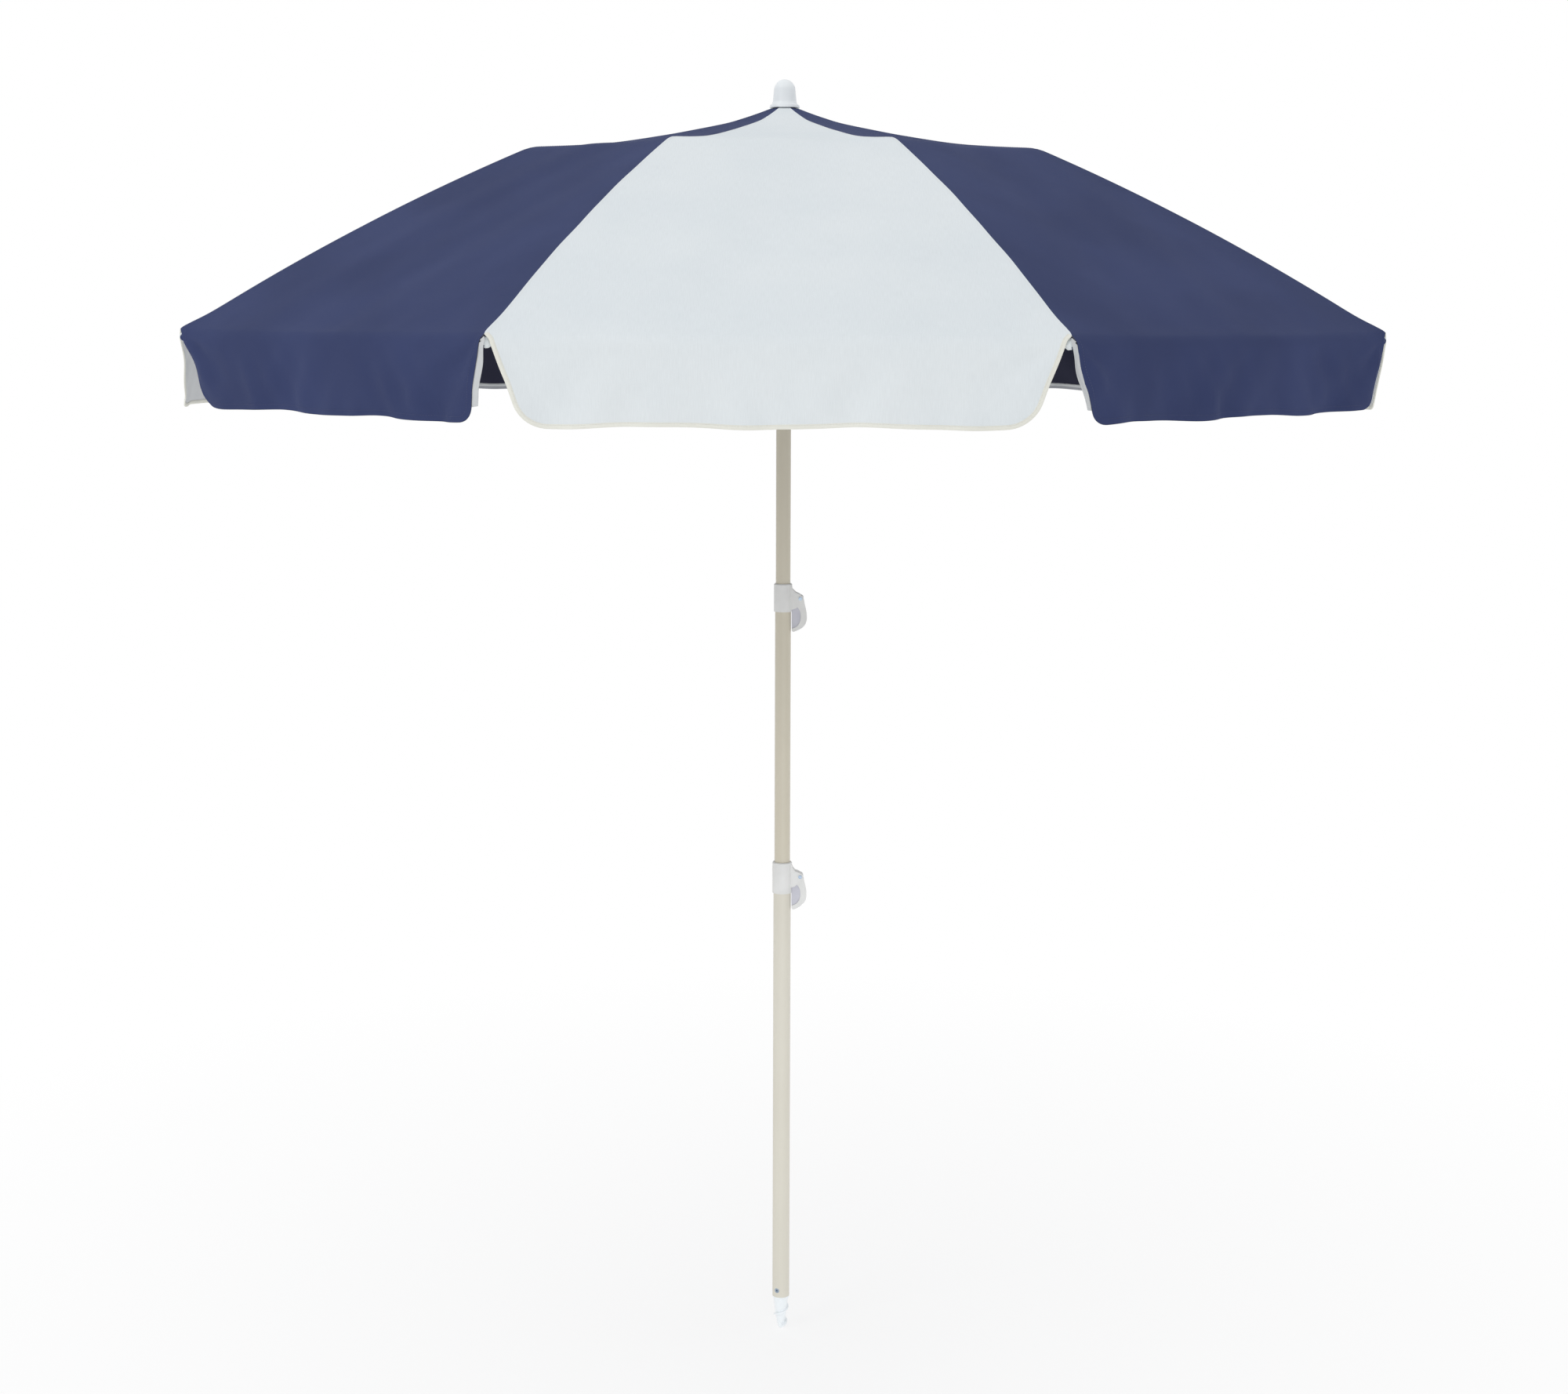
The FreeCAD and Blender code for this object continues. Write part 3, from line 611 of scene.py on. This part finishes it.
def flap_edge(k):
    """A flap's edge in (y, l): down its right side, along the hem and up its left side."""
    corner = corner_lengths(k)
    lengths = np.concatenate([np.linspace(RIM_L + 0.001, corner[0], 34), corner[1:]])
    right = np.column_stack([half_width(lengths, k), lengths])
    left = (right * np.array([-1, 1]))[::-1]
    return evenly(np.vstack([right, left]), 300)


FLAP_EDGES = (flap_edge(0), flap_edge(1))


def inside_edge(path, distance):
    return path + path_frame(path)[1] * distance


def make_panel(k):
    """The two sheets of panel k: top, inside the crease, and skirt, outside it with the flap."""
    for part, lengths, columns in (("top", TOP_LENGTHS, 56), ("skirt", outer_lengths(k), 96)):
        half = half_width(lengths, k)
        made = Pieces()
        patch(made, k, lengths, (-half, half), columns)
        sheet = thicken(made.build("panel_%s_%d" % (part, n_of(k)), both_sides(k)), CLOTH)
        on_panel(sheet, k, part)
        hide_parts("canopy_%s_%d" % (part, n_of(k)))


def make_seam_stitches(k):
    """A row of stitches just inside each seam of panel k."""
    for part, first, last in (("top", CAP_L + 0.004, CREASE_L), ("skirt", CREASE_L, RIM_L - 0.004)):
        rows = Pieces()
        lengths = np.linspace(first, last, 120)
        for side in (-1, 1):
            stitch(rows, k, np.column_stack([side * (half_width(lengths) - SEAM_STITCH_IN), lengths]))
        on_panel(rows.build("seam_stitches_%s_%d" % (part, n_of(k)), [panel_thread(k)]), k, part)


def loose_side_tape(into, k, side, reach):
    """A tape sewn inside the flap's side edge that stands out past it, cut at a slant above the corner."""
    lengths = np.linspace(RIM_L + 0.004, RIM_L + SIDE_TAPE_L, 34)
    flutter = reach * (1 + 0.12 * np.sin((lengths - RIM_L) * 70 + k))
    out = side * (half_width(lengths, k) + flutter * smoothstep((lengths - RIM_L) / 0.01))
    width = side * (reach + 0.004)
    profile = [(0, -0.0011), (width * 0.5, -0.0009), (width, -0.0008), (width, -0.0013), (0, -0.0016)]
    sweep(into, k, np.column_stack([out, lengths]), profile, closed=True, trim=0.4 * side)


def make_flap_trim(k):
    """White flaps: an ivory binding folded round the edge. Navy flaps: a turned hem with the tape inside, in
    painted shade: light grey inside and darker grey where it turns round the edge.
    """
    trim = Pieces()
    w = BINDING_W
    edge = FLAP_EDGES[is_navy(k)]
    if is_navy(k):
        turned = [(-0.0004, -0.0004), (0.0002, -0.0013), (TAPE_W * 0.45, -0.0015)]
        inside = [(TAPE_W * 0.45, -0.0015), (TAPE_W * 0.7, -0.0014), (TAPE_W, -0.0012), (TAPE_W, -0.0006)]
        sweep(trim, k, edge, inside, 0)
        sweep(trim, k, edge, turned, 2)
        stitch(trim, k, inside_edge(edge, 0.0075), slot=1)
        for side in (-1, 1):
            beside_front_panel = (k == 1 and side < 0) or (k == RIBS - 1 and side > 0)
            loose_side_tape(trim, k, side, SIDE_TAPE_SHOWN if beside_front_panel else SIDE_TAPE_HIDDEN)
        mats = [TAPE_IN_SHADE, NAVY_THREAD, TURNED_TAPE_SHADE]
    else:
        folded = [(w, -0.0001), (w - 0.0003, 0.0004), (w / 2, 0.0007), (0.0004, 0.0006), (-0.0006, 0.0002),
                  (-0.0009, -0.0004), (-0.0006, -0.0010), (0.0004, -0.0014), (w / 2, -0.0014),
                  (w - 0.0003, -0.0012), (w, -0.0006)]
        sweep(trim, k, edge, folded, 0)
        stitch(trim, k, inside_edge(edge, w - 0.0013), lift=0.0006, slot=1)
        mats = [IVORY_TAPE, WHITE_THREAD]
    on_panel(trim.build("flap_trim_%d" % n_of(k), mats), k, "skirt")


# ---- Seam tapes inside the cloth over each rib, and the cloth cap round the neck ----

def seam_tape_width(x):
    """Half the width of the tape: it closes over the crown and narrows past the knee."""
    wide = 0.026 - 0.006 * smoothstep((x - 0.30) / 0.08)
    return np.minimum(wide * smoothstep((RIM_R * SHRINK - x) / 0.03 + 0.1), x * SPREAD)


def make_rib_cloth(name, k, lengths, width, columns, lift, thickness):
    """Cloth on both sides of rib k, from the panel before it and the panel after it."""
    made = Pieces()
    before = (k - 1) % RIBS
    half = half_width(lengths)
    patch(made, before, lengths, (half - width, half), columns, lift, 0)
    patch(made, k, lengths, (-half, width - half), columns, lift, 2)
    return thicken(made.build(name, both_sides(before) + both_sides(k)), thickness)


def make_rib(k):
    """The seam tapes, the piece of cap and the tip pocket that go with rib k."""
    n = n_of(k)
    tucked = np.append(CAP_L - CAP_TUCK, TOP_LENGTHS)
    for part, lengths, body in (("top", tucked, "rib_inner_%d"), ("skirt", SKIRT_LENGTHS, "rib_outer_%d")):
        width = seam_tape_width(at_length(lengths)[0])
        tape = make_rib_cloth("seam_tape_%s_%d" % (part, n), k, lengths, width, 6, INSIDE, TAPE)
        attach(tape, body % n)
    lengths = np.linspace(0, CAP_L, 14)
    cap = make_rib_cloth("crown_cap_%d" % n, k, lengths, half_width(lengths), 10, 0.0, CLOTH)
    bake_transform(cap)
    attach(tip_pocket(k), "rib_outer_%d" % n)


def make_crown_tab(k):
    """Cloth sewn under the cap at the middle of panel k. It shows where the caps part when folded."""
    lengths = np.linspace(0, CAP_L + TAB_REACH, 18)
    half = np.minimum(half_width(lengths) - 0.0010, TAB_HALF)
    made = Pieces()
    patch(made, k, lengths, (-half, half), 10, INSIDE)
    tab = thicken(made.build("crown_tab_%d" % n_of(k), both_sides(k)), TAPE)
    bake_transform(tab)


def tube_faces(rows, sides, closed=False):
    """Faces of a tube of rings with the given sides; closed joins its last ring to its first."""
    return [(r * sides + c, (r + 1) % rows * sides + c,
             (r + 1) % rows * sides + (c + 1) % sides, r * sides + (c + 1) % sides)
            for r in range(rows if closed else rows - 1) for c in range(sides)]


POCKET_STATIONS = ((-0.0180, 0.0034), (-0.0150, 0.0052), (-0.0100, 0.0062), (-0.0040, 0.0066),
                   (0.0010, 0.0067), (0.0045, 0.0061), (0.0068, 0.0048), (0.0080, 0.0026), (0.0083, 0.0004))
POCKET_SIDES = 28
WRAPS = ((-0.0150, 0.0058), (-0.0138, 0.0060), (-0.0090, 0.0067))
WRAP_R, WRAP_SIDES = 0.00035, 5
TAIL_R, TAIL_POINTS, TAIL_ANGLES = 0.00022, 8, (0, 2.1, 4.2)


def tip_pocket(k):
    """The sewn pocket that holds the rib's tip, half in each panel's cloth, with wrapped thread and its tail.
    Stations and wraps are (distance along the rib from the tip, radius)."""
    out = np.array([math.cos(rib_angle(k)), math.sin(rib_angle(k)), 0])
    across = np.array([-out[1], out[0], 0])
    along = out * math.cos(POCKET_SLOPE) - np.array([0, 0, math.sin(POCKET_SLOPE)])
    up = np.cross(across, along)
    tip = out * POCKET_R + np.array([0, 0, POCKET_Z])
    made = Pieces()

    rings, uvs = [], []
    for row, (distance, radius) in enumerate(POCKET_STATIONS):
        for a in circle(POCKET_SIDES):
            crumple = 1 + 0.06 * math.sin(5 * a + row * 0.5 + k) + 0.04 * math.sin(9 * a - row + 2 * k)
            round_rib = across * math.cos(a) + up * math.sin(a)
            rings.append(tip + along * distance + round_rib * radius * crumple)
            uvs.append((radius * a, distance))
    made.add(rings, uvs, tube_faces(len(POCKET_STATIONS), POCKET_SIDES))
    parting = 0.35 if is_navy(k) else -0.35
    middles = np.cos(2 * math.pi * (np.arange(POCKET_SIDES) + 0.5) / POCKET_SIDES)
    made.slots = [0 if middle > parting else 1 for middle in middles] * (len(POCKET_STATIONS) - 1)

    for distance, radius in WRAPS:
        ring = []
        for a in circle(POCKET_SIDES):
            for b in circle(WRAP_SIDES):
                reach = radius + WRAP_R * math.cos(b)
                ring.append(tip + along * (distance + WRAP_R * math.sin(b) + 0.0006 * math.sin(a + k))
                            + (across * math.cos(a) + up * math.sin(a)) * reach)
        made.add(ring, [(0, 0)] * len(ring), tube_faces(POCKET_SIDES, WRAP_SIDES, closed=True), 2)

    start = tip + along * -0.004 - up * 0.0058
    tail = []
    for t in np.linspace(0, 1, TAIL_POINTS):
        centre = start + along * 0.006 * t - np.array([0, 0, 0.012]) * t ** 1.3
        centre = centre + across * 0.003 * math.sin(3 * t + k * 1.9)
        tail += [centre + TAIL_R * (across * math.cos(b) + out * math.sin(b)) for b in TAIL_ANGLES]
    made.add(tail, [(0, 0)] * len(tail), tube_faces(TAIL_POINTS, len(TAIL_ANGLES)), 2)
    before = (k - 1) % RIBS
    return made.build("tip_pocket_%d" % n_of(k), [both_sides(k)[0], both_sides(before)[0], WHITE_THREAD])


for k in range(RIBS):
    make_panel(k)
    make_seam_stitches(k)
    make_flap_trim(k)
for k in range(RIBS):
    make_rib(k)
    make_crown_tab(k)


# ---- Painted shade in the sunk sides of the clamp levers and in the sunk centre of the rivet ----
SKIN = 0.00005
RIVET_CENTRE_R, RIVET_SIDES = 0.0016, 24


def lever_recess_shade(node_name, body):
    """A thin skin on the flat floor of each side pocket of a lever, drawn darker and bluer than the clamp plastic:
    painted shade.
    """
    mesh = frame["nodes"][node_name].data
    sides = [p for p in mesh.polygons if abs(p.normal.y) > 0.99 and 0.0030 < abs(p.center.y) < 0.0038]
    points, faces = [], []
    for p in sides:
        lift = math.copysign(SKIN, p.normal.y)
        faces.append(tuple(range(len(points), len(points) + len(p.vertices))))
        points += [mesh.vertices[v].co + Vector((0, lift, 0)) for v in p.vertices]
    skin = mesh_object("lever_recess_%s" % body.split("_")[0], points, faces, [LEVER_RECESS_SHADE], smooth=False)
    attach(skin, body)


def rivet_hole_shade():
    """Painted shade for the sunk centre of the foot's rivet: a thin dark disc on its flush face."""
    face = [v.co for v in frame["nodes"]["ground_screw_rivet"].data.vertices]
    middle = sum(face, Vector()) / len(face)
    out = Vector((middle.x, middle.y, 0)).normalized()
    side = Vector((-out.y, out.x, 0))
    reach = max(v.x * out.x + v.y * out.y for v in face)
    at = out * reach + Vector((0, 0, middle.z))
    at += out * 0.00008
    points = [at + (side * math.cos(a) + Vector((0, 0, math.sin(a)))) * RIVET_CENTRE_R
              for a in circle(RIVET_SIDES)]
    disc = mesh_object("rivet_hole_shade", points, [tuple(range(RIVET_SIDES))], [RIVET_HOLE_SHADE], smooth=False)
    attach(disc, "lower_pole")


lever_recess_shade("lower_clamp_lever", "lower_lever")
lever_recess_shade("upper_clamp_lever", "upper_lever")
rivet_hole_shade()

# ---- Light, floor and camera ----
scene.view_settings.view_transform = "Standard"
world = bpy.data.worlds.new("studio")
scene.world = world
world.use_nodes = True
nodes, links = world.node_tree.nodes, world.node_tree.links
sky = nodes["Background"]                         # lights the object
seen = node(nodes, "ShaderNodeBackground")        # is what the camera sees
seen.inputs["Color"].default_value = (1, 1, 1, 1)
facing = node(nodes, "ShaderNodeTexCoord")
apart = node(nodes, "ShaderNodeSeparateXYZ")
links.new(facing.outputs["Generated"], apart.inputs["Vector"])
dome = colour_ramp(nodes, (0.0, 0.75), ((0.84, 0.83, 0.83), (0.87, 0.88, 0.895)))
links.new(apart.outputs["Z"], dome.inputs["Fac"])
links.new(dome.outputs["Color"], sky.inputs["Color"])
ray = node(nodes, "ShaderNodeLightPath")
choice = node(nodes, "ShaderNodeMixShader")
links.new(ray.outputs["Is Camera Ray"], choice.inputs["Fac"])
links.new(sky.outputs["Background"], choice.inputs[1])
links.new(seen.outputs["Background"], choice.inputs[2])
links.new(choice.outputs["Shader"], nodes["World Output"].inputs["Surface"])

AIM = Vector((0, 0, 1.2))


def soft_light(name, place, size, power, aim=AIM, spread=math.pi, colour=(1, 1, 1)):
    data = bpy.data.lights.new(name, "AREA")
    data.energy = power
    data.size = size
    data.spread = spread
    data.color = colour
    lamp = bpy.data.objects.new(name, data)
    lamp.location = place
    lamp.rotation_euler = (aim - Vector(place)).to_track_quat("-Z", "Y").to_euler()
    scene.collection.objects.link(lamp)


soft_light("key", (-3.4, -3.1, 5.0), 2.2, 40)
soft_light("low_fill", (0.6, -3.4, 0.35), 1.2, 1.3, Vector((0, 0, 0.25)), math.radians(34), (0.88, 0.94, 1.0))

FLOOR_RINGS, FLOOR_SIDES, FLOOR_Z = (2.5, 5.0, 9.0, 20.0, 40.0), 64, -0.0005
floor_points = [(r * math.cos(a), r * math.sin(a), FLOOR_Z) for r in FLOOR_RINGS for a in circle(FLOOR_SIDES)]
floor_faces = [tuple(range(FLOOR_SIDES))] + tube_faces(len(FLOOR_RINGS), FLOOR_SIDES)

# The floor fades to white with distance, and can't be seen from below.
floor_mat, nodes, links, bsdf = new_material("studio_floor")
bsdf.inputs["Base Color"].default_value = (0.93, 0.93, 0.93, 1)
bsdf.inputs["Roughness"].default_value = 0.9
far = node(nodes, "ShaderNodeEmission", Color=(1, 1, 1, 1), Strength=1.0)
where = node(nodes, "ShaderNodeTexCoord")
away = node(nodes, "ShaderNodeVectorMath", operation="LENGTH")
links.new(where.outputs["Object"], away.inputs[0])
fade = node(nodes, "ShaderNodeMapRange")
fade.inputs["From Min"].default_value = -5.0
fade.inputs["From Max"].default_value = 2.2
links.new(away.outputs["Value"], fade.inputs["Value"])
blend = node(nodes, "ShaderNodeMixShader")
links.new(fade.outputs["Result"], blend.inputs["Fac"])
links.new(bsdf.outputs["BSDF"], blend.inputs[1])
links.new(far.outputs["Emission"], blend.inputs[2])
behind = node(nodes, "ShaderNodeNewGeometry")
unseen = node(nodes, "ShaderNodeBsdfTransparent")
one_sided = node(nodes, "ShaderNodeMixShader")
links.new(behind.outputs["Backfacing"], one_sided.inputs["Fac"])
links.new(blend.outputs["Shader"], one_sided.inputs[1])
links.new(unseen.outputs["BSDF"], one_sided.inputs[2])
links.new(one_sided.outputs["Shader"], nodes["Material Output"].inputs["Surface"])
mesh_object("floor", floor_points, floor_faces, [floor_mat], smooth=False)

CAMERA_AWAY = 3.77
CAMERA_HEIGHT = 1.7385
CAMERA_TILT = math.radians(9.5)
CAMERA_AZIMUTH = math.radians(0.5)
CAMERA_ROLL = math.radians(-0.19)
lens = bpy.data.cameras.new("camera")
lens.sensor_width = 36
lens.lens = 53.06
lens.clip_end = 100
camera = bpy.data.objects.new("camera", lens)
camera.location = (CAMERA_AWAY * math.sin(CAMERA_AZIMUTH), -CAMERA_AWAY * math.cos(CAMERA_AZIMUTH),
                   CAMERA_HEIGHT)
camera.rotation_euler = (math.pi / 2 - CAMERA_TILT, CAMERA_ROLL, CAMERA_AZIMUTH)
scene.collection.objects.link(camera)
scene.camera = camera

bpy.context.view_layer.update()
